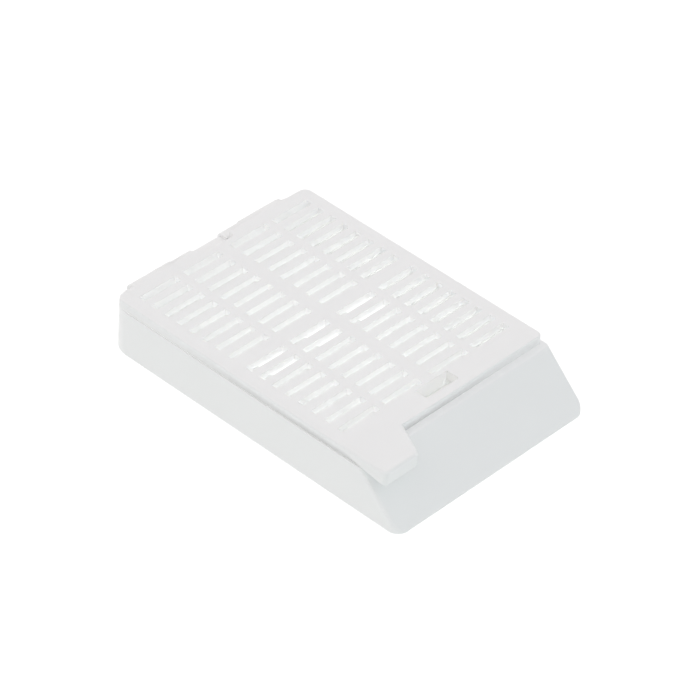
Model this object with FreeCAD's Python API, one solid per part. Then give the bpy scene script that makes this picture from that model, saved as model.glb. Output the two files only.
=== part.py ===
import FreeCAD, Part
import math
import os

Vector = FreeCAD.Vector

# A hinged tissue cassette: a slotted tray with a sloping writing face, a slotted lid with a finger
# tab, and two thin straps that hold the lid to the tray. Millimetres. While a part is built, y is
# counted from the foot of the writing face towards the hinge, x runs across with 0 on the centre
# line, and z is up from the underside. place() then moves the finished part so that the origin is
# under the middle of the closed cassette.

# Tray outside
TRAY_WIDTH = 28.9
TRAY_LENGTH = 42.1
RIM_HEIGHT = 5.6
TRAY_REAR_RADIUS = 3.0
TRAY_FRONT_RADIUS = 1.4
TRAY_EDGE_RADIUS = 0.3

# Tray inside
WALL = 1.2
FLOOR = 0.9
CHAMBER_FRONT_RADIUS = 0.5

# Writing face, the level ledge above it, and the hollow wedge behind it
WRITING_FOOT_HEIGHT = 0.25
WRITING_RUN = 5.75
WRITING_WALL = 1.1
WEDGE_SIDE_WALL = 1.1
LEDGE = 3.8

# Slots, the same grid in the lid and, a little further forward, in the tray floor
SLOT_WIDTH = 0.87
ROWS_PER_BLOCK = 8
MIDDLE_BAR_EXTRA = 0.79
CENTRE_RIB = 1.71
COLUMN_RIB = 1.02
SLOT_SIDE_MARGIN = 0.675
SLOT_FRONT_MARGIN = 0.25
SLOT_REAR_MARGIN = 1.585
FLOOR_SLOT_SHIFT = -0.15

# Lid
LID_SEAT_GAP = 0.06
LID_THICKNESS = 1.03
LID_PLATE = 0.8
LID_RIM_WALL = 0.9
LID_SIDE_INSET = 0.15
LID_FRONT_INSET = 0.85
LID_REAR_INSET = 1.05
LID_REAR_RADIUS = 1.0
LID_FRONT_RADIUS = 0.6
LID_EDGE_RADIUS = 0.15

# Notch in the rear edge of the lid, between the straps
NOTCH_WIDTH = 4.9
NOTCH_DEPTH = 0.85
NOTCH_RADIUS = 0.4
NOTCH_MOUTH_RADIUS = 0.2

# Ribs under the lid that stand just inside the tray walls
LIP_DEPTH = 0.5
LIP_THICKNESS = 0.4
LIP_CLEARANCE = 0.15
SIDE_LIP_END_GAP = 1.1
REAR_LIP_END_GAP = 1.0

# Finger tab at the front left corner of the lid, with its thin raised pad
TAB_REACH = 4.15
TAB_TIP_WIDTH = 4.95
TAB_ROOT_WIDTH = 7.0
TAB_CORNER_RADIUS = 0.6
TAB_EDGE_RADIUS = 0.32
PAD_RISE = 0.1
PAD_WIDTH = 7.45
PAD_DEPTH = 2.4
PAD_CORNER_RADIUS = 1.65
GRIP_DROP = 0.55
GRIP_LENGTH = 3.05

# Latch: a window in the lid, a springy tongue behind it, and a pocket in the tray wall that
# catches the tongue
WINDOW_WIDTH = 4.8
WINDOW_FRONT_BAR = 1.12
TONGUE_THICKNESS = 0.42
TONGUE_SIDE_GAP = 0.25
TONGUE_TAPER = 0.3
TONGUE_REACH = 1.15
TONGUE_CORNER_RADIUS = 0.6
BEAD_SIZE = 0.12
BEAD_LIFT = 0.25
CATCH_CLEARANCE = 0.06
CATCH_DEPTH = 0.55
CATCH_HEIGHT = 0.15
CATCH_UNDERCUT = 0.35
RAMP_RUN = 0.7
POCKET_SIDE_GAP = 0.35
POCKET_FLOOR_GAP = 0.55
POCKET_WALL = 1.0

# Straps, which are a little thinner beside the notch
STRAP_INNER_X = 2.15
STRAP_WIDTH = 9.1
STRAP_THICKNESS = 0.4
STRAP_THIN_WIDTH = 3.05
STRAP_THINNING = 0.1
STRAP_INNER_BEND = 0.25
STRAP_DROP = 0.9
STRAP_FOOT_TAPER = 0.3
RELIEF_GAP = 0.15
RELIEF_DEPTH = 0.3

# Worked-out places: tray
OVERALL_LENGTH = TRAY_LENGTH + STRAP_THICKNESS
CHAMBER_FRONT_Y = WRITING_RUN + LEDGE
CHAMBER_REAR_Y = TRAY_LENGTH - WALL
CHAMBER_SIDE_X = TRAY_WIDTH / 2 - WALL
CHAMBER_REAR_RADIUS = TRAY_REAR_RADIUS - WALL

# Worked-out places: slots
SLOT_FRONT_Y = CHAMBER_FRONT_Y + SLOT_FRONT_MARGIN
SLOT_REAR_Y = CHAMBER_REAR_Y - SLOT_REAR_MARGIN
SLOT_ROWS = 2 * ROWS_PER_BLOCK
SLOT_PITCH = (SLOT_REAR_Y - SLOT_FRONT_Y - SLOT_WIDTH - MIDDLE_BAR_EXTRA) / (SLOT_ROWS - 1)
SLOT_LENGTH = (CHAMBER_SIDE_X - SLOT_SIDE_MARGIN - CENTRE_RIB / 2 - COLUMN_RIB) / 2

# Worked-out places: lid
LID_SIDE_X = TRAY_WIDTH / 2 - LID_SIDE_INSET
LID_FRONT_Y = WRITING_RUN + LID_FRONT_INSET
LID_REAR_Y = TRAY_LENGTH - LID_REAR_INSET
LID_FOOT_Z = RIM_HEIGHT + LID_SEAT_GAP
LID_TOP_Z = LID_FOOT_Z + LID_THICKNESS
LID_ROOF_Z = LID_TOP_Z - LID_PLATE
PAD_TOP_Z = LID_TOP_Z + PAD_RISE
PAD_RIGHT_X = PAD_WIDTH - LID_SIDE_X
TAB_FRONT_Y = LID_FRONT_Y - TAB_REACH

# Worked-out places: latch
WINDOW_FRONT_Y = LID_FRONT_Y + WINDOW_FRONT_BAR
TONGUE_FRONT_Y = SLOT_FRONT_Y - TONGUE_THICKNESS
TONGUE_FOOT_Z = RIM_HEIGHT - TONGUE_REACH
TONGUE_TOP_X = WINDOW_WIDTH / 2 - TONGUE_SIDE_GAP
TONGUE_FOOT_X = TONGUE_TOP_X - TONGUE_TAPER
CATCH_Y = TONGUE_FRONT_Y - BEAD_SIZE - CATCH_CLEARANCE
POCKET_FRONT_Y = CATCH_Y - RAMP_RUN
POCKET_SIDE_X = TONGUE_TOP_X + POCKET_SIDE_GAP
POCKET_FOOT_Z = TONGUE_FOOT_Z - POCKET_FLOOR_GAP

# Worked-out places: straps
BEND_Y = TRAY_LENGTH - STRAP_INNER_BEND
BEND_Z = LID_FOOT_Z - STRAP_INNER_BEND
STRAP_FOOT_Z = RIM_HEIGHT - STRAP_DROP
STRAP_FREE_LENGTH = (STRAP_INNER_BEND + STRAP_THICKNESS / 2) * math.pi / 2 + BEND_Y - LID_REAR_Y

# The hinge axis lies midway between the strap's end on the closed lid and its end when the lid lies
# open behind the tray, where the strap is straight
OPEN_LID_REAR_Y = TRAY_LENGTH + STRAP_FREE_LENGTH
OPEN_STRAP_Z = (STRAP_FOOT_Z + BEND_Z) / 2
HINGE_Y = (LID_REAR_Y + OPEN_LID_REAR_Y) / 2
HINGE_Z = (LID_FOOT_Z + STRAP_THICKNESS / 2 + OPEN_STRAP_Z) / 2

PAST = 1.0  # how far a cutting tool runs past the face that it leaves
TOLERANCE = 0.01  # two edges closer than this count as level
SAME_POINT = 1e-6  # two points closer than this are joined without an edge


def place(shape):
    """Move a finished part into the frame of the cassette."""
    moved = shape.copy()
    moved.translate(Vector(0, -OVERALL_LENGTH / 2, 0))
    return moved


def rounded_wire(corners, z):
    """A closed wire at height z through (x, y, radius) corners, each rounded by its own radius."""
    count = len(corners)
    starts = []
    ends = []
    middles = []
    for index in range(count):
        x, y, radius = corners[index]
        here = Vector(x, y, z)
        before = Vector(corners[index - 1][0], corners[index - 1][1], z) - here
        after = Vector(corners[(index + 1) % count][0], corners[(index + 1) % count][1], z) - here
        before.normalize()
        after.normalize()
        half_angle = before.getAngle(after) / 2
        setback = radius / math.tan(half_angle)
        bisector = before + after
        bisector.normalize()
        starts.append(here + before * setback)
        ends.append(here + after * setback)
        middles.append(here + bisector * (radius / math.sin(half_angle) - radius))
    edges = []
    for index in range(count):
        if corners[index][2] > 0:
            edges.append(Part.Arc(starts[index], middles[index], ends[index]).toShape())
        following = starts[(index + 1) % count]
        if ends[index].distanceToPoint(following) > SAME_POINT:
            edges.append(Part.LineSegment(ends[index], following).toShape())
    return Part.Wire(edges)


def plan_prism(corners, low_z, high_z):
    """An upright solid between two heights over a rounded plan outline."""
    return Part.Face(rounded_wire(corners, low_z)).extrude(Vector(0, 0, high_z - low_z))


def side_prism(profile, left_x, right_x):
    """A solid across the cassette between two x values from a (y, z) outline."""
    points = [Vector(left_x, y, z) for y, z in profile]
    return Part.Face(Part.makePolygon(points + points[:1])).extrude(Vector(right_x - left_x, 0, 0))


def block(left_x, right_x, front_y, rear_y, low_z, high_z):
    """A plain box between pairs of limits."""
    return Part.makeBox(right_x - left_x, rear_y - front_y, high_z - low_z, Vector(left_x, front_y, low_z))


def slot_row_fronts():
    """The y of the front edge of each row of slots, front row first."""
    fronts = []
    for row in range(SLOT_ROWS):
        extra = MIDDLE_BAR_EXTRA if row >= ROWS_PER_BLOCK else 0
        fronts.append(SLOT_FRONT_Y + row * SLOT_PITCH + extra)
    return fronts


def slot_column_lefts():
    """The x of the left end of each column of slots, left column first."""
    inner_left = CENTRE_RIB / 2
    outer_left = inner_left + SLOT_LENGTH + COLUMN_RIB
    return [-outer_left - SLOT_LENGTH, -inner_left - SLOT_LENGTH, inner_left, outer_left]


def slot_tools(low_z, high_z, shift_y=0):
    """Boxes that cut the whole grid of slots between two heights; a positive shift is rearward."""
    tools = []
    for left_x in slot_column_lefts():
        for row_y in slot_row_fronts():
            front_y = row_y + shift_y
            tools.append(block(left_x, left_x + SLOT_LENGTH, front_y, front_y + SLOT_WIDTH, low_z, high_z))
    return tools


def edges_where(shape, wanted):
    """The edges of a shape whose bounding box passes a test."""
    return [edge for edge in shape.Edges if wanted(edge.BoundBox)]


def writing_slope():
    """How far the writing face rises for each millimetre towards the rear."""
    return (RIM_HEIGHT - WRITING_FOOT_HEIGHT) / WRITING_RUN


def tray_outside():
    """The solid outer form of the tray: a wedge front and a box rear, with rounded corners."""
    side_x = TRAY_WIDTH / 2
    profile = [
        (0, 0),
        (0, WRITING_FOOT_HEIGHT),
        (WRITING_RUN, RIM_HEIGHT),
        (TRAY_LENGTH, RIM_HEIGHT),
        (TRAY_LENGTH, 0),
    ]
    outline = [
        (-side_x, 0, TRAY_FRONT_RADIUS),
        (side_x, 0, TRAY_FRONT_RADIUS),
        (side_x, TRAY_LENGTH, TRAY_REAR_RADIUS),
        (-side_x, TRAY_LENGTH, TRAY_REAR_RADIUS),
    ]
    body = side_prism(profile, -side_x, side_x)
    body = body.common(plan_prism(outline, -PAST, RIM_HEIGHT + PAST))

    def around_writing_face(box):
        slanted = box.YMax <= WRITING_RUN + TOLERANCE and box.ZLength > WRITING_FOOT_HEIGHT + TOLERANCE
        across = box.YLength < TOLERANCE and abs(box.YMin - WRITING_RUN) < TOLERANCE
        return slanted or (across and box.ZMin > RIM_HEIGHT - TOLERANCE)

    return body.makeFillet(TRAY_EDGE_RADIUS, edges_where(body, around_writing_face))


def tray_chamber():
    """The open space of the tray that holds the tissue."""
    corners = [
        (-CHAMBER_SIDE_X, CHAMBER_FRONT_Y, CHAMBER_FRONT_RADIUS),
        (CHAMBER_SIDE_X, CHAMBER_FRONT_Y, CHAMBER_FRONT_RADIUS),
        (CHAMBER_SIDE_X, CHAMBER_REAR_Y, CHAMBER_REAR_RADIUS),
        (-CHAMBER_SIDE_X, CHAMBER_REAR_Y, CHAMBER_REAR_RADIUS),
    ]
    return plan_prism(corners, FLOOR, RIM_HEIGHT + PAST)


def wedge_hollow():
    """The space under the writing face, open below, that leaves walls of even thickness."""
    slope = writing_slope()
    wall_run = WRITING_WALL * math.sqrt(1 + slope ** 2) / slope
    foot_y = wall_run - WRITING_FOOT_HEIGHT / slope
    roof_z = RIM_HEIGHT - WRITING_WALL
    roof_front_y = foot_y + roof_z / slope
    rear_y = CHAMBER_FRONT_Y - WALL
    below_y = foot_y - PAST / slope
    side_x = TRAY_WIDTH / 2 - WEDGE_SIDE_WALL
    profile = [(below_y, -PAST), (roof_front_y, roof_z), (rear_y, roof_z), (rear_y, -PAST)]
    return side_prism(profile, -side_x, side_x)


def latch_pocket():
    """The recess in the front wall of the chamber, with a ramp and an undercut that catch the tongue."""
    open_y = CHAMBER_FRONT_Y + PAST
    undercut_y = CATCH_Y - CATCH_UNDERCUT
    catch_top_z = RIM_HEIGHT - CATCH_DEPTH
    catch_foot_z = catch_top_z - CATCH_HEIGHT
    profile = [
        (open_y, RIM_HEIGHT + PAST),
        (POCKET_FRONT_Y, RIM_HEIGHT + PAST),
        (POCKET_FRONT_Y, RIM_HEIGHT),
        (CATCH_Y, catch_top_z),
        (CATCH_Y, catch_foot_z),
        (undercut_y, catch_foot_z - CATCH_UNDERCUT / 2),
        (undercut_y, POCKET_FOOT_Z),
        (open_y, POCKET_FOOT_Z),
    ]
    return side_prism(profile, -POCKET_SIDE_X, POCKET_SIDE_X)


def pocket_backing():
    """The thicker wall that keeps the latch pocket closed towards the hollow wedge."""
    side_x = POCKET_SIDE_X + POCKET_WALL
    low_z = POCKET_FOOT_Z - POCKET_WALL
    return block(-side_x, side_x, POCKET_FRONT_Y - POCKET_WALL, CHAMBER_FRONT_Y, low_z, RIM_HEIGHT)


def strap_reliefs():
    """Shallow cuts in the rear rim that make room for the bend of each strap."""
    inner_x = STRAP_INNER_X - RELIEF_GAP
    outer_x = STRAP_INNER_X + STRAP_WIDTH + RELIEF_GAP
    tools = []
    for left_x in (-outer_x, inner_x):
        right_x = left_x + outer_x - inner_x
        tools.append(block(left_x, right_x, BEND_Y - RELIEF_GAP, TRAY_LENGTH + PAST,
                           RIM_HEIGHT - RELIEF_DEPTH, RIM_HEIGHT + PAST))
    return tools


def make_base():
    """The tray: walls, slotted floor, writing face, latch pocket and strap reliefs."""
    body = tray_outside().cut(wedge_hollow())
    body = body.fuse(pocket_backing())
    body = body.cut([tray_chamber(), latch_pocket()] + strap_reliefs())
    body = body.cut(slot_tools(-PAST, FLOOR + PAST, FLOOR_SLOT_SHIFT))
    return body.removeSplitter()


def lid_outline():
    """Corners of the lid seen from above, without the finger tab: x, y, radius."""
    notch_x = NOTCH_WIDTH / 2
    notch_y = LID_REAR_Y - NOTCH_DEPTH
    return [
        (-LID_SIDE_X, LID_FRONT_Y, 0),
        (LID_SIDE_X, LID_FRONT_Y, LID_FRONT_RADIUS),
        (LID_SIDE_X, LID_REAR_Y, LID_REAR_RADIUS),
        (notch_x, LID_REAR_Y, NOTCH_MOUTH_RADIUS),
        (notch_x, notch_y, NOTCH_RADIUS),
        (-notch_x, notch_y, NOTCH_RADIUS),
        (-notch_x, LID_REAR_Y, NOTCH_MOUTH_RADIUS),
        (-LID_SIDE_X, LID_REAR_Y, LID_REAR_RADIUS),
    ]


def pad_outline():
    """Corners of the finger tab and its raised pad seen from above: x, y, radius."""
    return [
        (-LID_SIDE_X, TAB_FRONT_Y, TAB_CORNER_RADIUS),
        (TAB_TIP_WIDTH - LID_SIDE_X, TAB_FRONT_Y, TAB_CORNER_RADIUS),
        (TAB_ROOT_WIDTH - LID_SIDE_X, LID_FRONT_Y, 0),
        (PAD_RIGHT_X, LID_FRONT_Y, 0),
        (PAD_RIGHT_X, LID_FRONT_Y + PAD_DEPTH, PAD_CORNER_RADIUS),
        (-LID_SIDE_X, LID_FRONT_Y + PAD_DEPTH, 0),
    ]


def finger_grip():
    """The tapered grip under the finger tab, trimmed to the outline of the tab."""
    low_z = LID_FOOT_Z - GRIP_DROP
    profile = [
        (TAB_FRONT_Y + GRIP_LENGTH, LID_FOOT_Z),
        (TAB_FRONT_Y - PAST, LID_FOOT_Z),
        (TAB_FRONT_Y - PAST, low_z),
        (TAB_FRONT_Y, low_z),
    ]
    return side_prism(profile, -LID_SIDE_X - PAST, PAD_RIGHT_X).common(
        plan_prism(pad_outline(), low_z - PAST, LID_FOOT_Z))


def finger_tab():
    """The finger tab with its pad and grip, rounded along its free edges."""
    tab = plan_prism(pad_outline(), LID_FOOT_Z, PAD_TOP_Z).fuse(finger_grip()).removeSplitter()
    root_x = TAB_ROOT_WIDTH - LID_SIDE_X

    def free_top_edge(box):
        on_top = box.ZMin > PAD_TOP_Z - TOLERANCE
        left_side = box.XMax < TOLERANCE - LID_SIDE_X
        around_tip = box.YMax < LID_FRONT_Y + TOLERANCE and box.XMin < root_x - TOLERANCE
        return on_top and (left_side or around_tip)

    return tab.makeFillet(TAB_EDGE_RADIUS, edges_where(tab, free_top_edge))


def lid_plate():
    """The lid as a solid slab, rounded along the top edge, with the place of the tab left open."""
    plate = plan_prism(lid_outline(), LID_FOOT_Z, LID_TOP_Z)

    def top_edge(box):
        return box.ZMin > LID_TOP_Z - TOLERANCE

    plate = plate.makeFillet(LID_EDGE_RADIUS, edges_where(plate, top_edge))
    return plate.cut(plan_prism(pad_outline(), LID_FOOT_Z - PAST, LID_TOP_Z + PAST))


def lid_recess():
    """The shallow space under the plate, inside the rim."""
    side_x = LID_SIDE_X - LID_RIM_WALL
    rear_y = LID_REAR_Y - NOTCH_DEPTH - LID_RIM_WALL
    return block(-side_x, side_x, CHAMBER_FRONT_Y, rear_y, LID_FOOT_Z - PAST, LID_ROOF_Z)


def lid_lips():
    """Ribs that stand just inside the side and rear walls of the tray."""
    low_z = LID_FOOT_Z - LIP_DEPTH
    outer_x = CHAMBER_SIDE_X - LIP_CLEARANCE
    inner_x = outer_x - LIP_THICKNESS
    front_y = CHAMBER_FRONT_Y + SIDE_LIP_END_GAP
    corner_y = CHAMBER_REAR_Y - CHAMBER_REAR_RADIUS - SIDE_LIP_END_GAP
    corner_x = CHAMBER_SIDE_X - CHAMBER_REAR_RADIUS - REAR_LIP_END_GAP
    rear_y = CHAMBER_REAR_Y - LIP_CLEARANCE
    return [
        block(-outer_x, -inner_x, front_y, corner_y, low_z, LID_ROOF_Z),
        block(inner_x, outer_x, front_y, corner_y, low_z, LID_ROOF_Z),
        block(-corner_x, corner_x, rear_y - LIP_THICKNESS, rear_y, low_z, LID_ROOF_Z),
    ]


def latch_tongue():
    """The thin tongue that hangs from the rear edge of the window, with a bead across its front."""
    corners = [
        (-TONGUE_TOP_X, LID_ROOF_Z, 0),
        (TONGUE_TOP_X, LID_ROOF_Z, 0),
        (TONGUE_FOOT_X, TONGUE_FOOT_Z, TONGUE_CORNER_RADIUS),
        (-TONGUE_FOOT_X, TONGUE_FOOT_Z, TONGUE_CORNER_RADIUS),
    ]
    face = Part.Face(rounded_wire(corners, 0))
    face.rotate(Vector(0, 0, 0), Vector(1, 0, 0), 90)
    face.translate(Vector(0, TONGUE_FRONT_Y, 0))
    tongue = face.extrude(Vector(0, TONGUE_THICKNESS, 0))
    bead_x = TONGUE_FOOT_X - TONGUE_CORNER_RADIUS
    bead_z = TONGUE_FOOT_Z + BEAD_LIFT
    bead = [
        (TONGUE_FRONT_Y, bead_z + BEAD_SIZE),
        (TONGUE_FRONT_Y - BEAD_SIZE, bead_z),
        (TONGUE_FRONT_Y, bead_z - BEAD_SIZE),
    ]
    return tongue.fuse(side_prism(bead, -bead_x, bead_x))


def latch_window():
    """The opening in the lid in front of the tongue."""
    side_x = WINDOW_WIDTH / 2
    return block(-side_x, side_x, WINDOW_FRONT_Y, TONGUE_FRONT_Y, LID_FOOT_Z - TOLERANCE, LID_TOP_Z + PAST)


def make_lid():
    """The lid: plate, rim, finger tab, lips, slots, latch window and tongue."""
    body = lid_plate().fuse(finger_tab())
    body = body.cut(lid_recess())
    body = body.fuse(lid_lips() + [latch_tongue()])
    body = body.cut([latch_window()] + slot_tools(LID_ROOF_Z - TOLERANCE, LID_TOP_Z + PAST))
    return body.removeSplitter()


def strap_length(left_x, width, thickness):
    """A width of strap: flat off the lid, bent over the rear rim, and down the tray."""
    outer_bend = STRAP_INNER_BEND + thickness

    def at(y, z):
        return Vector(left_x, y, z)

    def line(start, end):
        return Part.LineSegment(start, end).toShape()

    def bend(radius, start, end):
        reach = radius * math.sqrt(0.5)
        return Part.Arc(start, at(BEND_Y + reach, BEND_Z + reach), end).toShape()

    lid_top = at(LID_REAR_Y, BEND_Z + outer_bend)
    outer_top = at(BEND_Y, BEND_Z + outer_bend)
    outer_rear = at(BEND_Y + outer_bend, BEND_Z)
    foot_rear = at(BEND_Y + outer_bend, STRAP_FOOT_Z + STRAP_FOOT_TAPER)
    foot = at(TRAY_LENGTH, STRAP_FOOT_Z)
    inner_rear = at(TRAY_LENGTH, BEND_Z)
    inner_top = at(BEND_Y, LID_FOOT_Z)
    lid_foot = at(LID_REAR_Y, LID_FOOT_Z)
    outline = Part.Wire([
        line(lid_top, outer_top),
        bend(outer_bend, outer_top, outer_rear),
        line(outer_rear, foot_rear),
        line(foot_rear, foot),
        line(foot, inner_rear),
        bend(STRAP_INNER_BEND, inner_rear, inner_top),
        line(inner_top, lid_foot),
        line(lid_foot, lid_top),
    ])
    return Part.Face(outline).extrude(Vector(width, 0, 0))


def make_strap(side):
    """One living hinge strap: a full thickness and, beside the notch, a thinner width."""
    full_width = STRAP_WIDTH - STRAP_THIN_WIDTH
    thin_start_x = side * STRAP_INNER_X
    thin_end_x = side * (STRAP_INNER_X + STRAP_THIN_WIDTH)
    outer_x = side * (STRAP_INNER_X + STRAP_WIDTH)
    thin = strap_length(min(thin_start_x, thin_end_x), STRAP_THIN_WIDTH, STRAP_THICKNESS - STRAP_THINNING)
    full = strap_length(min(thin_end_x, outer_x), full_width, STRAP_THICKNESS)
    return thin.fuse(full).removeSplitter()


def main():
    """Build each part, report it and write it to its own file."""
    os.makedirs("parts", exist_ok=True)
    parts = {
        "base": make_base(),
        "lid": make_lid(),
        "hinge_strap_left": make_strap(-1),
        "hinge_strap_right": make_strap(1),
    }
    for name, shape in parts.items():
        placed = place(shape)
        print(name, placed.isValid(), len(placed.Solids), "solid", round(placed.Volume, 2), "mm3")
        placed.exportStep("parts/" + name + ".step")
    print("hinge axis y", round(HINGE_Y - OVERALL_LENGTH / 2, 4), "z", round(HINGE_Z, 4))


main()
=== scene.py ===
"""Looks of a hinged tissue cassette: softened mouldings, living hinges, acetal, studio and camera.

Blender works in metres here, in the cassette's own frame: +Z up from the underside, +Y towards the
hinge and +X across. Sizes in the classes are in millimetres and say so in their names.
"""

import logging
import math
from dataclasses import dataclass
from enum import Enum
from typing import Any

import bmesh
import bpy
from mathutils import Matrix, Vector


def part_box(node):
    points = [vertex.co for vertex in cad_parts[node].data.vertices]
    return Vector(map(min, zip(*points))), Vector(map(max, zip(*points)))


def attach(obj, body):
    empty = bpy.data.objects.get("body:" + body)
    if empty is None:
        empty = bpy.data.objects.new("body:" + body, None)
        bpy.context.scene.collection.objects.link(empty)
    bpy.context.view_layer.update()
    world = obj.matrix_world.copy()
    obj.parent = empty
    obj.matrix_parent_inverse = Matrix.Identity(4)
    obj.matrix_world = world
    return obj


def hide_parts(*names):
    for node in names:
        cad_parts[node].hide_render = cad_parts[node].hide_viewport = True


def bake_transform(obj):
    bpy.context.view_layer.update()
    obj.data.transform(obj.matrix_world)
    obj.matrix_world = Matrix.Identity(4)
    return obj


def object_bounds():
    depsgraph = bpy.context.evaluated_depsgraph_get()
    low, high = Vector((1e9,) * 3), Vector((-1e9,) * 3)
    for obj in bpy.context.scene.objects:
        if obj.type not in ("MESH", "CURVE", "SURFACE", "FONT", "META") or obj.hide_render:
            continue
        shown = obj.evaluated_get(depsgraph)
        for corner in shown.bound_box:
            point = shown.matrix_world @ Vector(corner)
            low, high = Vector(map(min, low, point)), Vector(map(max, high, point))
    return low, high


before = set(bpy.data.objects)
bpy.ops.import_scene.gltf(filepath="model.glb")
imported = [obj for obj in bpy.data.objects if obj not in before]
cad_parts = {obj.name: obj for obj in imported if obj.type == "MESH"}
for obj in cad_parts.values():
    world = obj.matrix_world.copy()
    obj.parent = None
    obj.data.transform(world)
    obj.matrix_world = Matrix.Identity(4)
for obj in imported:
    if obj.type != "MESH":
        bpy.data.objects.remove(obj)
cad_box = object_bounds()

MM = 0.001
TRAY_BODY = "tray"
LID_BODY = "cover"

# Light reaches the slots and the latch pocket only after many bounces between white walls.
LIGHT_BOUNCES = 24

Colour = tuple[float, float, float]
Sky = tuple[Colour, Colour, Colour]

log = logging.getLogger("tissue_cassette")


def linear_colour(code: str) -> tuple[float, float, float, float]:
    """Turn an sRGB hex code into a linear colour.

    Args:
        code: Six hex digits after a hash, such as "#E8E6E6".

    Returns:
        Red, green, blue and an alpha of 1, each from 0 to 1.
    """
    channels = [int(code[place:place + 2], 16) / 255 for place in (1, 3, 5)]
    linear = [c / 12.92 if c <= 0.04045 else ((c + 0.055) / 1.055) ** 2.4 for c in channels]
    return (linear[0], linear[1], linear[2], 1.0)


def add_node(
    tree: bpy.types.NodeTree,
    kind: str,
    values: dict[int | str, Any] | None = None,
    links: dict[int | str, bpy.types.NodeSocket] | None = None,
    **properties: Any,
) -> bpy.types.Node:
    """Add a node to a tree, with its settings and its links.

    Args:
        tree: The tree that gets the node.
        kind: Blender's name for the node's type.
        values: Constants for the node's inputs, by input name or place.
        links: Sockets that feed the node's inputs, by input name or place.
        **properties: The node's own settings, such as an operation.

    Returns:
        The new node.
    """
    node = tree.nodes.new(kind)
    for name, value in properties.items():
        setattr(node, name, value)
    for name, value in (values or {}).items():
        node.inputs[name].default_value = value
    for name, socket in (links or {}).items():
        tree.links.new(socket, node.inputs[name])
    return node


def add_noise(
    tree: bpy.types.NodeTree, place: bpy.types.NodeSocket, size_mm: float, detail: float
) -> bpy.types.NodeSocket:
    """Add a cloudy pattern.

    Args:
        tree: The tree that gets the node.
        place: Where on the piece the point lies, in metres.
        size_mm: The real size of the pattern.
        detail: How many finer layers it has.

    Returns:
        The pattern, from 0 to 1.
    """
    values = {"Scale": 1 / (size_mm * MM), "Detail": detail}
    return add_node(tree, "ShaderNodeTexNoise", values, {"Vector": place}).outputs["Fac"]


def add_rise(
    tree: bpy.types.NodeTree, value: bpy.types.NodeSocket, start: float, end: float
) -> bpy.types.NodeSocket:
    """Add a smooth rise from 0 to 1.

    Args:
        tree: The tree that gets the node.
        value: What the rise follows.
        start: The value at which it leaves 0.
        end: The value at which it reaches 1.

    Returns:
        The rise.
    """
    return add_node(
        tree,
        "ShaderNodeMapRange",
        {"From Min": start, "From Max": end},
        {"Value": value},
        interpolation_type="SMOOTHSTEP",
    ).outputs["Result"]


def add_math(
    tree: bpy.types.NodeTree, operation: str, *terms: bpy.types.NodeSocket
) -> bpy.types.NodeSocket:
    """Add a sum over sockets.

    Args:
        tree: The tree that gets the node.
        operation: Blender's name for the sum.
        *terms: What it works on.

    Returns:
        The result.
    """
    links = dict(enumerate(terms))
    return add_node(tree, "ShaderNodeMath", links=links, operation=operation).outputs[0]


def add_mix(
    tree: bpy.types.NodeTree,
    share: bpy.types.NodeSocket,
    first: bpy.types.NodeSocket | tuple[float, ...],
    second: bpy.types.NodeSocket | tuple[float, ...],
) -> bpy.types.NodeSocket:
    """Add a mix of two colours, each of which is a socket or a constant.

    Args:
        tree: The tree that gets the node.
        share: The share of the second colour.
        first: The colour at a share of 0.
        second: The colour at a share of 1.

    Returns:
        The mixed colour.
    """
    values = {}
    links = {"Factor": share}
    for name, colour in (("A", first), ("B", second)):
        target = links if isinstance(colour, bpy.types.NodeSocket) else values
        target[name] = colour
    return add_node(tree, "ShaderNodeMix", values, links, data_type="RGBA").outputs["Result"]


def add_bump(
    tree: bpy.types.NodeTree, height: bpy.types.NodeSocket, depth_mm: float
) -> bpy.types.NodeSocket:
    """Add a relief.

    Args:
        tree: The tree that gets the node.
        height: The relief's height, from 0 to 1.
        depth_mm: How deep it is.

    Returns:
        The bumped normal.
    """
    values = {"Strength": 1.0, "Distance": depth_mm * MM}
    return add_node(tree, "ShaderNodeBump", values, {"Height": height}).outputs["Normal"]


def store(name: str, shape: bmesh.types.BMesh) -> bpy.types.Mesh:
    """Keep a form as a mesh.

    Args:
        name: The mesh's name.
        shape: The form, which is freed.

    Returns:
        The mesh.
    """
    mesh = bpy.data.meshes.new(name)
    shape.to_mesh(mesh)
    shape.free()
    return mesh


def new_object(name: str, mesh: bpy.types.Mesh) -> bpy.types.Object:
    """Put a mesh into the scene as an object of its own.

    Args:
        name: The object's name.
        mesh: The mesh that it shows.

    Returns:
        The object, linked to the scene.
    """
    piece = bpy.data.objects.new(name, mesh)
    bpy.context.scene.collection.objects.link(piece)
    return piece


class MouldEdge(Enum):
    """How far the mould rounds an edge, in millimetres."""

    SHARP = 0.0
    CRISP = 0.02
    BROKEN = 0.05


class Finish(Enum):
    """The finishes of the moulding, in the order in which a piece carries them."""

    SATIN = 0
    # Grain, with a darker colour that is painted shade.
    WRITING_GRAIN = 1
    THIN_WALL = 2
    # A whiter colour that is painted light.
    DEEP_WALL = 3


class Side(Enum):
    """Which side of the cassette a hinge strap is on, as the sign of its x."""

    LEFT = -1
    RIGHT = 1


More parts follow.
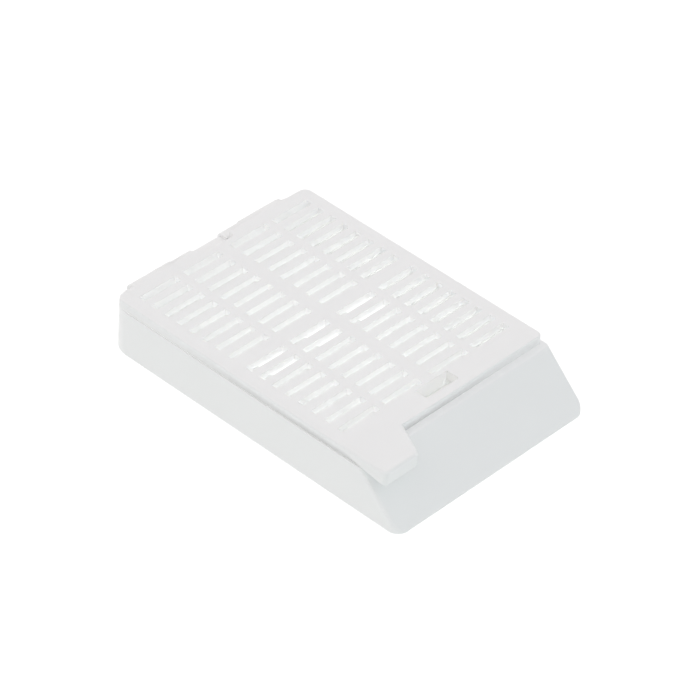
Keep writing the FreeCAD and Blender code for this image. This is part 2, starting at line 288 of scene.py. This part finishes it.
@dataclass(frozen=True)
class SatinAcetal:
    """White acetal moulded against plain steel: milky white, with a soft sheen that drifts a little."""

    name: str = "white_acetal_satin"
    pale: str = "#FCFCFC"
    deep: str = "#FAFAFA"
    roughness: float = 0.34
    roughness_drift: float = 0.05
    ior: float = 1.48
    flow_mm: float = 9.0
    satin_mm: float = 0.11
    satin_height_mm: float = 0.0006
    # How much light soaks in, how far it goes, and the shares of that for red, green and blue. Here
    # none does: where another face lies hidden close by, the light that soaks in would be lost.
    translucency: float = 0.0
    scatter_mm: float = 2.0
    scatter_reach: Colour = (1.0, 0.97, 0.93)

    def bump(self, tree: bpy.types.NodeTree, place: bpy.types.NodeSocket) -> bpy.types.NodeSocket:
        """Give the fine unevenness of a plain steel mould.

        Args:
            tree: The material's tree.
            place: Where on the piece the point lies, in metres.

        Returns:
            The bumped normal.
        """
        return add_bump(tree, add_noise(tree, place, self.satin_mm, detail=2.0), self.satin_height_mm)

    def material(self) -> bpy.types.Material:
        """Build the finish.

        Returns:
            A material with cloudy colour, drifting gloss and the mould's own unevenness.
        """
        made = bpy.data.materials.new(self.name)
        made.use_nodes = True
        tree = made.node_tree
        tree.nodes.clear()
        place = add_node(tree, "ShaderNodeTexCoord").outputs["Object"]
        flow = add_noise(tree, place, self.flow_mm, detail=3.0)
        gloss = add_node(
            tree,
            "ShaderNodeMapRange",
            {
                "To Min": self.roughness - self.roughness_drift,
                "To Max": self.roughness + self.roughness_drift,
            },
            {"Value": flow},
        )
        body = add_node(
            tree,
            "ShaderNodeBsdfPrincipled",
            {
                "IOR": self.ior,
                "Subsurface Weight": self.translucency,
                "Subsurface Radius": self.scatter_reach,
                "Subsurface Scale": self.scatter_mm * MM,
            },
            {
                "Base Color": add_mix(tree, flow, linear_colour(self.pale), linear_colour(self.deep)),
                "Roughness": gloss.outputs["Result"],
                "Normal": self.bump(tree, place),
            },
        )
        add_node(tree, "ShaderNodeOutputMaterial", links={"Surface": body.outputs["BSDF"]})
        return made


@dataclass(frozen=True)
class GrainedAcetal(SatinAcetal):
    """The same acetal where the mould was etched, so that a pencil marks it: a fine matte grain, and a
    colour a shade darker and cooler as painted shade.
    """

    name: str = "white_acetal_writing_grain_painted_shade"
    # Painted shade: a shade darker and cooler than the satin acetal, to dim the writing face.
    pale: str = "#F9FAFA"
    deep: str = "#F7F8F8"
    roughness: float = 0.52
    grain_mm: float = 0.16
    grain_height_mm: float = 0.006
    # Where the grain starts and where it is full, in from the sides, the foot and the top.
    side_border_mm: tuple[float, float] = (0.45, 0.675)
    foot_border_mm: tuple[float, float] = (0.315, 0.495)
    top_border_mm: tuple[float, float] = (0.27, 0.45)

    def bump(self, tree: bpy.types.NodeTree, place: bpy.types.NodeSocket) -> bpy.types.NodeSocket:
        """Give the etched grain, which fades out along the smooth border of the writing face.

        The real grain is finer; this is as coarse as it needs to be to show.

        Args:
            tree: The material's tree.
            place: Where on the piece the point lies, in metres.

        Returns:
            The bumped normal.
        """
        low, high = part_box("base")
        spot = add_node(tree, "ShaderNodeSeparateXYZ", links={0: place})
        across = add_math(tree, "ABSOLUTE", spot.outputs["X"])
        inside = add_rise(tree, across, *(high.x - gap * MM for gap in self.side_border_mm))
        above = add_rise(tree, spot.outputs["Y"], *(low.y + gap * MM for gap in self.foot_border_mm))
        below = add_rise(tree, spot.outputs["Z"], *(high.z - gap * MM for gap in self.top_border_mm))
        etched = add_math(tree, "MULTIPLY", add_math(tree, "MULTIPLY", inside, above), below)
        grain = add_noise(tree, place, self.grain_mm, detail=1.5)
        return add_bump(tree, add_math(tree, "MULTIPLY", grain, etched), self.grain_height_mm)


@dataclass(frozen=True)
class ThinWallAcetal(SatinAcetal):
    """The same acetal on the thin bars between slots: light soaks through and the walls glow."""

    name: str = "white_acetal_thin_wall"
    translucency: float = 1.0


@dataclass(frozen=True)
class DeepWallAcetal(SatinAcetal):
    """The same acetal in the latch window and pocket: painted light, a shade whiter and faintly warm
    for the light that soaks in.
    """

    name: str = "white_acetal_deep_wall_painted_light"
    # Painted light: whiter than the satin and faintly warm, standing in for light that would reach
    # these walls through the plastic.
    pale: str = "#FFFFFF"
    deep: str = "#FEFEFB"


@dataclass
class Moulding:
    """A piece of the one-shot moulding: the part's own form with its mould edges broken."""

    node: str
    piece: str
    body: str
    edge_steps: int = 3
    flat_angle_deg: float = 0.6
    edge_angle_deg: float = 32.0
    weld_mm: float = 0.0001

    def __post_init__(self) -> None:
        """Look up the box that the piece fills."""
        self.low, self.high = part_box(self.node)

    def rounding(self, edge: bmesh.types.BMEdge) -> MouldEdge:
        """Say how far the mould rounds an edge."""
        return MouldEdge.BROKEN

    def settle(self, shape: bmesh.types.BMesh) -> None:
        """Move the corners that look a little other than the part's own form has them; here none."""

    def finish_of(self, face: bpy.types.MeshPolygon) -> Finish:
        """Say which finish a face has."""
        return Finish.SATIN

    def form(self) -> bpy.types.Mesh:
        """Merge the facets of the part's own form into whole faces and say how round each edge is.

        Returns:
            A mesh of plain faces that meet at the real edges.
        """
        shape = bmesh.new()
        shape.from_mesh(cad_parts[self.node].data)
        bmesh.ops.remove_doubles(shape, verts=shape.verts, dist=self.weld_mm * MM)
        bmesh.ops.dissolve_limit(
            shape,
            angle_limit=math.radians(self.flat_angle_deg),
            verts=shape.verts,
            edges=shape.edges,
        )
        bmesh.ops.connect_verts_concave(shape, faces=shape.faces)
        self.settle(shape)
        weight = shape.edges.layers.float.new("bevel_weight_edge")
        for edge in shape.edges:
            if edge.calc_face_angle(0.0) > math.radians(self.edge_angle_deg):
                rounding = self.rounding(edge)
                edge[weight] = rounding.value / MouldEdge.BROKEN.value
                edge.smooth = rounding is not MouldEdge.SHARP
        for face in shape.faces:
            face.smooth = True
        return store(self.piece, shape)

    def build(self) -> bpy.types.Object:
        """Make the piece, break its edges and let it stand for its node.

        Returns:
            The finished piece, riding on its body.
        """
        piece = new_object(self.piece, self.form())
        edges = piece.modifiers.new("mould_edges", "BEVEL")
        edges.width = MouldEdge.BROKEN.value * MM
        edges.segments = self.edge_steps
        edges.limit_method = "WEIGHT"
        edges.use_clamp_overlap = False
        edges.loop_slide = False
        flats = piece.modifiers.new("flat_faces", "WEIGHTED_NORMAL")
        flats.keep_sharp = True
        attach(piece, self.body)
        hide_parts(self.node)
        return piece

    def dress(self, piece: bpy.types.Object, finishes: dict[Finish, bpy.types.Material]) -> None:
        """Give every face of the piece its finish.

        Args:
            piece: The piece to dress.
            finishes: The materials of the finishes.
        """
        wanted = [self.finish_of(face) for face in piece.data.polygons]
        used = sorted(set(wanted), key=lambda finish: finish.value)
        for finish in used:
            piece.data.materials.append(finishes[finish])
        for face, finish in zip(piece.data.polygons, wanted):
            face.material_index = used.index(finish)


@dataclass
class TrayMoulding(Moulding):
    """The tray, whose sloping front is the writing face."""

    # Which way the writing face looks, and the cosine above which a face looks the same way.
    slope_normal: tuple[float, float, float] = (0.0, -0.6812, 0.7321)
    slope_cosine: float = 0.99
    floor_mm: float = 0.95
    slots_side_mm: float = 12.7
    slots_front_mm: float = -12.0
    rim_mm: float = 0.1
    relief_front_mm: float = 20.3
    relief_depth_mm: float = 0.5
    relief_mm: float = 0.03
    pocket_side_mm: float = 2.6
    pocket_mm: tuple[float, float] = (-14.2, -11.9)
    pocket_foot_mm: float = 3.7

    def rounding(self, edge: bmesh.types.BMEdge) -> MouldEdge:
        """Leave the floor's slots sharp, and the rim where the lid shuts on it.

        Args:
            edge: An edge between two faces.

        Returns:
            How round the edge is.
        """
        ends = [corner.co for corner in edge.verts]
        if all(end.z < self.low.z + self.floor_mm * MM for end in ends) and self.in_slots(ends):
            return MouldEdge.SHARP
        if all(end.z > self.high.z - self.rim_mm * MM for end in ends):
            return MouldEdge.SHARP
        return MouldEdge.BROKEN

    def in_slots(self, ends: list[Vector]) -> bool:
        """Tell whether points lie within the grid of slots."""
        side, front = self.slots_side_mm * MM, self.slots_front_mm * MM
        return all(abs(end.x) < side and end.y > front for end in ends)

    def settle(self, shape: bmesh.types.BMesh) -> None:
        """Bring the reliefs under the straps almost up to the rim, as they are too fine to tell.

        Args:
            shape: The form to change.
        """
        for corner in shape.verts:
            sunk = self.high.z - corner.co.z
            in_relief = self.rim_mm * MM < sunk < self.relief_depth_mm * MM
            if in_relief and corner.co.y > self.relief_front_mm * MM:
                corner.co.z = self.high.z - self.relief_mm * MM

    def finish_of(self, face: bpy.types.MeshPolygon) -> Finish:
        """Tell the grained writing face, with its painted shade, and the latch pocket, with its painted
        light, from the rest.

        Args:
            face: A face of the tray.

        Returns:
            Its finish.
        """
        # The writing face takes the grain and a darker colour: painted shade.
        if face.normal.dot(Vector(self.slope_normal)) > self.slope_cosine:
            return Finish.WRITING_GRAIN
        middle = face.center
        beside = abs(middle.x) < self.pocket_side_mm * MM
        along = self.pocket_mm[0] * MM < middle.y < self.pocket_mm[1] * MM
        within = self.pocket_foot_mm * MM < middle.z < self.high.z - self.rim_mm * MM
        # The pocket's walls take a whiter colour: painted light.
        return Finish.DEEP_WALL if beside and along and within else Finish.SATIN


@dataclass
class LidMoulding(Moulding):
    """The lid: a slotted plate with a latch window and a finger tab."""

    slots_side_mm: float = 12.9
    slots_rear_mm: float = 19.2
    slots_front_mm: float = -12.2
    window_front_mm: float = -13.6
    window_side_mm: float = 2.6
    # How far below the pad's top the foot and the lips lie, and how far the foot is let down.
    foot_mm: float = 1.13
    lips_mm: float = 0.9
    seat_mm: float = 0.059
    # What counts as level with the foot, as near it and as a low step, and the upward share of the
    # normal up to which a face counts as an upright and as a leaning wall.
    level_mm: float = 0.01
    near_mm: float = 0.1
    step_mm: float = 0.3
    upright: float = 0.1
    leaning: float = 0.5

    def settle(self, shape: bmesh.types.BMesh) -> None:
        """Let the lid's foot down until the seam is as tight as it looks.

        Args:
            shape: The form to change.
        """
        foot = self.high.z - self.foot_mm * MM
        for corner in shape.verts:
            if abs(corner.co.z - foot) < self.level_mm * MM:
                corner.co.z -= self.seat_mm * MM

    def in_opening(self, middle: Vector) -> bool:
        """Tell whether a point lies in the grid of slots or in the latch window.

        Args:
            middle: The point.

        Returns:
            Whether it does.
        """
        if self.window_front_mm * MM < middle.y < self.slots_front_mm * MM:
            return abs(middle.x) < self.window_side_mm * MM
        in_rows = self.slots_front_mm * MM < middle.y < self.slots_rear_mm * MM
        return in_rows and abs(middle.x) < self.slots_side_mm * MM

    def rounding(self, edge: bmesh.types.BMEdge) -> MouldEdge:
        """Leave the openings, the seat and the pad's low step sharp, and the lips crisp.

        Args:
            edge: An edge between two faces.

        Returns:
            How round the edge is.
        """
        middle = (edge.verts[0].co + edge.verts[1].co) / 2
        if self.in_opening(middle):
            return MouldEdge.SHARP
        if abs(middle.z - self.high.z + self.foot_mm * MM) < self.near_mm * MM:
            return MouldEdge.SHARP
        if middle.z < self.high.z - self.lips_mm * MM:
            return MouldEdge.CRISP
        for face in edge.link_faces:
            heights = [corner.co.z for corner in face.verts]
            low_step = max(heights) - min(heights) < self.step_mm * MM
            if low_step and abs(face.normal.z) < self.leaning:
                return MouldEdge.SHARP
        return MouldEdge.BROKEN

    def finish_of(self, face: bpy.types.MeshPolygon) -> Finish:
        """Tell the thin walls around the slots and the latch window's walls, painted whiter as painted
        light, from the rest.

        Args:
            face: A face of the lid.

        Returns:
            Its finish.
        """
        if abs(face.normal.z) > self.upright or not self.in_opening(face.center):
            return Finish.SATIN
        in_grid = face.center.y > self.slots_front_mm * MM
        # The window's walls take the whiter deep-wall colour: painted light.
        return Finish.THIN_WALL if in_grid else Finish.DEEP_WALL


@dataclass
class HingeStrap:
    """A living hinge: it leaves the rear wall, bends over the rim and runs into the lid's rear edge."""

    node: str
    piece: str
    side: Side
    thickness_mm: float = 0.4
    thin_width_mm: float = 3.05
    thinning_mm: float = 0.1
    inner_bend_mm: float = 0.25
    foot_taper_mm: float = 0.3
    buried_mm: float = 0.05
    edge_mm: float = 0.06
    edge_steps: int = 3
    foot_steps: int = 4
    bend_steps: int = 10
    run_steps: int = 4
    # The strap follows the tray up to the first of these places and the lid from the second, and it
    # turns between them. Each is a distance back and up: the first from the rear and the foot of the
    # strap's box, the second from its front and its top.
    turn_start_mm: tuple[float, float] = (0.094, 0.487)
    turn_end_mm: tuple[float, float] = (0.405, 0.153)

    def line(self) -> list[tuple[Vector, Vector, float]]:
        """The strap's inner line, from its foot on the wall to the lid.

        Returns:
            Points in the plane across the hinge, each with the way out of the strap and the share of
            the full thickness there.
        """
        low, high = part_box(self.node)
        wall = high.y - self.thickness_mm * MM
        under = high.z - self.thickness_mm * MM
        bend = self.inner_bend_mm * MM
        foot = low.z
        taper = self.foot_taper_mm * MM
        out = Vector((0, 1, 0))
        up = Vector((0, 0, 1))
        points = []
        for step in range(self.foot_steps + 1):
            share = step / self.foot_steps
            points.append((Vector((0, wall, foot + taper * share)), out, math.sin(share * math.pi / 2)))
        points.append((Vector((0, wall, (foot + taper + under - bend) / 2)), out, 1.0))
        for step in range(self.bend_steps + 1):
            turn = math.pi / 2 * step / self.bend_steps
            way = out * math.cos(turn) + up * math.sin(turn)
            points.append((Vector((0, wall - bend, under - bend)) + way * bend, way, 1.0))
        lid_edge = low.y - self.buried_mm * MM
        for step in range(1, self.run_steps + 1):
            share = step / self.run_steps
            points.append((Vector((0, (wall - bend) * (1 - share) + lid_edge * share, under)), up, 1.0))
        return points

    def stations(self) -> list[tuple[float, float, float]]:
        """Where across the hinge the strap is drawn.

        Returns:
            Each place in x, the thickness there and how far the section shrinks at a rounded edge.
        """
        low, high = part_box(self.node)
        inner = min(abs(low.x), abs(high.x))
        outer = max(abs(low.x), abs(high.x))
        step = inner + self.thin_width_mm * MM
        full = self.thickness_mm * MM
        thin = full - self.thinning_mm * MM
        edge = self.edge_mm * MM
        rounds = [math.pi / 2 * k / self.edge_steps for k in range(self.edge_steps + 1)]
        places = [(step - edge, thin, 0.0), (step, (thin + full) / 2, 0.0), (step + edge, full, 0.0)]
        for turn in rounds:
            rise, fall = edge * (1 - math.cos(turn)), edge * (1 - math.sin(turn))
            places.append((inner + rise, thin, fall))
            places.append((outer - rise, full, fall))
        return sorted(places)

    def add_rings(self, shape: bmesh.types.BMesh) -> list[list[bmesh.types.BMVert]]:
        """Draw the strap's outline at every station.

        Args:
            shape: The form that gets the corners.

        Returns:
            A ring of corners for each station: out along the strap and back under it.
        """
        rings = []
        line = self.line()
        for place, thickness, shrink in self.stations():
            across = Vector((place * self.side.value, 0, 0))
            sunk = shrink - self.buried_mm * MM
            outer = [
                point + across + way * max(thickness * share - shrink, shrink)
                for point, way, share in line
            ]
            inner = [point + across + way * sunk for point, way, _ in line]
            rings.append([shape.verts.new(corner) for corner in outer + inner[::-1]])
        return rings

    def loft(self) -> bpy.types.Mesh:
        """Close the rings into a solid strap.

        Returns:
            The strap's mesh.
        """
        shape = bmesh.new()
        rings = self.add_rings(shape)
        count = len(rings[0])
        for ring, following in zip(rings, rings[1:]):
            for place in range(count):
                beside = (place + 1) % count
                shape.faces.new((ring[place], ring[beside], following[beside], following[place]))
        for ring in (rings[0], rings[-1]):
            under = ring[::-1]
            for place in range(count // 2 - 1):
                shape.faces.new((ring[place], ring[place + 1], under[place + 1], under[place]))
        bmesh.ops.recalc_face_normals(shape, faces=shape.faces)
        for face in shape.faces:
            face.smooth = True
        return store(self.piece, shape)

    def build(self) -> bpy.types.Object:
        """Loft the strap and bend it across the joint.

        Returns:
            The finished piece.
        """
        piece = new_object(self.piece, self.loft())
        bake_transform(piece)
        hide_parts(self.node)
        return piece

    def dress(self, piece: bpy.types.Object, finishes: dict[Finish, bpy.types.Material]) -> None:
        """Give the strap its satin finish."""
        piece.data.materials.append(finishes[Finish.SATIN])


@dataclass(frozen=True)
class Studio:
    """A white light table in soft light."""

    # The table and, a hair above it, the brighter panel that is seen only through the slots.
    table_mm: tuple[float, float] = (900.0, 900.0)
    table_drop_mm: float = 0.04
    table_glow: Colour = (0.82, 0.85, 0.84)
    panel_mm: tuple[float, float] = (26.0, 40.0)
    panel_drop_mm: float = 0.02
    panel_glow: Colour = (1.80, 1.85, 1.80)
    # What the eye sees of both instead of their light.
    opal_colour: str = "#B4B4B4"
    opal_seen_glow: float = 0.78
    softbox_mm: tuple[float, float] = (500.0, 500.0)
    softbox_place_mm: tuple[float, float, float] = (-500.0, 350.0, 550.0)
    softbox_power: float = 0.1
    # Light from low down, from halfway up and from overhead, in front and behind.
    front_sky: Sky = ((0.31, 0.325, 0.335), (1.02, 1.06, 1.07), (0.645, 0.63, 0.64))
    rear_sky: Sky = ((0.72, 0.695, 0.67), (0.91, 0.86, 0.855), (0.645, 0.63, 0.64))
    # Between which heights and depths of the sky's unit sphere its light changes.
    low_band: tuple[float, float] = (0.25, 0.5)
    high_band: tuple[float, float] = (0.77, 0.95)
    rear_band: tuple[float, float] = (-0.5, 0.5)

    def build(self) -> None:
        """Lay the table and the panel, light the sky and hang the softbox."""
        self.lay_plate("light_table", self.table_mm, self.table_drop_mm, self.table_glow)
        self.lay_plate("bright_panel", self.panel_mm, self.panel_drop_mm, self.panel_glow)
        self.light_sky()
        self.hang_softbox()

    def lay_plate(self, name: str, size_mm: tuple[float, float], drop_mm: float, glow: Colour) -> None:
        """Lay a glowing plate under the cassette.

        Args:
            name: The plate's name.
            size_mm: Its width and length.
            drop_mm: How far it lies below the cassette's underside.
            glow: The light that it gives.
        """
        half_x, half_y = (side * MM / 2 for side in size_mm)
        corners = ((-half_x, -half_y), (half_x, -half_y), (half_x, half_y), (-half_x, half_y))
        shape = bmesh.new()
        shape.faces.new([shape.verts.new((x, y, -drop_mm * MM)) for x, y in corners])
        plate = new_object(name, store(name, shape))
        plate.data.materials.append(self.opal_glass(name, glow))

    def seen(self, tree: bpy.types.NodeTree) -> bpy.types.NodeSocket:
        """Tell what is looked at, mirrored or seen through from what only gives light.

        Args:
            tree: The tree that gets the nodes.

        Returns:
            1 for camera, glossy and transmission rays and 0 for the rest.
        """
        path = add_node(tree, "ShaderNodeLightPath").outputs
        mirrored = add_math(tree, "MAXIMUM", path["Is Camera Ray"], path["Is Glossy Ray"])
        return add_math(tree, "MAXIMUM", mirrored, path["Is Transmission Ray"])

    def opal_glass(self, name: str, light: Colour) -> bpy.types.Material:
        """Make opal glass, which looks white, takes a faint shadow and lights the cassette from below.

        Args:
            name: The material's name.
            light: The light that it gives.

        Returns:
            The material.
        """
        made = bpy.data.materials.new(name)
        made.use_nodes = True
        tree = made.node_tree
        tree.nodes.clear()
        paint = add_node(tree, "ShaderNodeBsdfDiffuse", {"Color": linear_colour(self.opal_colour)})
        seen_glow = add_node(tree, "ShaderNodeEmission", {"Strength": self.opal_seen_glow})
        looked_at = add_node(
            tree, "ShaderNodeAddShader", links={0: paint.outputs[0], 1: seen_glow.outputs[0]}
        )
        glow = add_node(tree, "ShaderNodeEmission", {"Color": (*light, 1.0), "Strength": 1.0})
        glass = add_node(
            tree,
            "ShaderNodeMixShader",
            links={"Fac": self.seen(tree), 1: glow.outputs[0], 2: looked_at.outputs[0]},
        )
        add_node(tree, "ShaderNodeOutputMaterial", links={"Surface": glass.outputs[0]})
        return made

    def light_sky(self) -> None:
        """Fill the room with soft light that is dimmer low in front, and white to the eye."""
        world = bpy.data.worlds.new("studio")
        world.use_nodes = True
        tree = world.node_tree
        tree.nodes.clear()
        way = add_node(tree, "ShaderNodeTexCoord").outputs["Generated"]
        spot = add_node(tree, "ShaderNodeSeparateXYZ", links={0: way})
        halfway = add_rise(tree, spot.outputs["Z"], *self.low_band)
        overhead = add_rise(tree, spot.outputs["Z"], *self.high_band)
        halves = []
        for sky in (self.front_sky, self.rear_sky):
            low, middle, top = ((*light, 1.0) for light in sky)
            halves.append(add_mix(tree, overhead, add_mix(tree, halfway, low, middle), top))
        rearward = add_rise(tree, spot.outputs["Y"], *self.rear_band)
        light = add_mix(tree, rearward, *halves)
        shown = add_mix(tree, self.seen(tree), light, (1.0, 1.0, 1.0, 1.0))
        shine = add_node(tree, "ShaderNodeBackground", {"Strength": 1.0}, {"Color": shown})
        add_node(tree, "ShaderNodeOutputWorld", links={"Surface": shine.outputs["Background"]})
        bpy.context.scene.world = world

    def hang_softbox(self) -> None:
        """Hang a weak softbox at the left rear, facing the cassette."""
        name = "left_rear_softbox"
        place = Vector(self.softbox_place_mm) * MM
        data = bpy.data.lights.new(name, "AREA")
        data.shape = "RECTANGLE"
        data.size = self.softbox_mm[0] * MM
        data.size_y = self.softbox_mm[1] * MM
        data.energy = self.softbox_power
        lamp = bpy.data.objects.new(name, data)
        lamp.location = place
        lamp.rotation_mode = "QUATERNION"
        lamp.rotation_quaternion = (-place).to_track_quat("-Z", "Y")
        bpy.context.scene.collection.objects.link(lamp)


@dataclass(frozen=True)
class ProductCamera:
    """A long lens that looks down on the writing face and the left side."""

    azimuth_deg: float = -49.36
    elevation_deg: float = 39.03
    roll_deg: float = 4.374
    distance_mm: float = 408.6
    lens_mm: float = 200.81
    sensor_mm: float = 36.0
    clip_ratio: float = 20.0
    aim_mm: tuple[float, float, float] = (0.873, 0.11, -0.385)

    def build(self) -> None:
        """Place the camera and make it the scene's own."""
        data = bpy.data.cameras.new("product_camera")
        data.lens = self.lens_mm
        data.sensor_width = self.sensor_mm
        data.clip_start = self.distance_mm * MM / self.clip_ratio
        data.clip_end = self.distance_mm * MM * self.clip_ratio
        azimuth = math.radians(self.azimuth_deg)
        elevation = math.radians(self.elevation_deg)
        back = Vector((
            math.sin(azimuth) * math.cos(elevation),
            -math.cos(azimuth) * math.cos(elevation),
            math.sin(elevation),
        ))
        level = Vector((math.cos(azimuth), math.sin(azimuth), 0))
        rise = back.cross(level)
        turn = Matrix.Rotation(math.radians(self.roll_deg), 3, back)
        axes = Matrix((turn @ level, turn @ rise, back)).transposed()
        centre = (cad_box[0] + cad_box[1]) / 2
        camera = bpy.data.objects.new("product_camera", data)
        camera.matrix_world = axes.to_4x4()
        camera.location = centre + Vector(self.aim_mm) * MM + back * self.distance_mm * MM
        bpy.context.scene.collection.objects.link(camera)
        bpy.context.scene.camera = camera


def main() -> None:
    """Build and dress the cassette, then the studio and the camera."""
    logging.basicConfig(level=logging.INFO)
    scene = bpy.context.scene
    scene.view_settings.view_transform = "Standard"
    scene.cycles.max_bounces = LIGHT_BOUNCES
    scene.cycles.diffuse_bounces = LIGHT_BOUNCES
    scene.cycles.use_guiding = True
    finishes = {
        Finish.SATIN: SatinAcetal().material(),
        Finish.WRITING_GRAIN: GrainedAcetal().material(),
        Finish.THIN_WALL: ThinWallAcetal().material(),
        Finish.DEEP_WALL: DeepWallAcetal().material(),
    }
    for part in (
        TrayMoulding("base", "tray_moulding", TRAY_BODY),
        LidMoulding("lid", "lid_moulding", LID_BODY),
        HingeStrap("hinge_strap_left", "strap_left", Side.LEFT),
        HingeStrap("hinge_strap_right", "strap_right", Side.RIGHT),
    ):
        piece = part.build()
        part.dress(piece, finishes)
        log.info("%s: %d faces", piece.name, len(piece.data.polygons))
    Studio().build()
    ProductCamera().build()


if __name__ == "__main__":
    main()
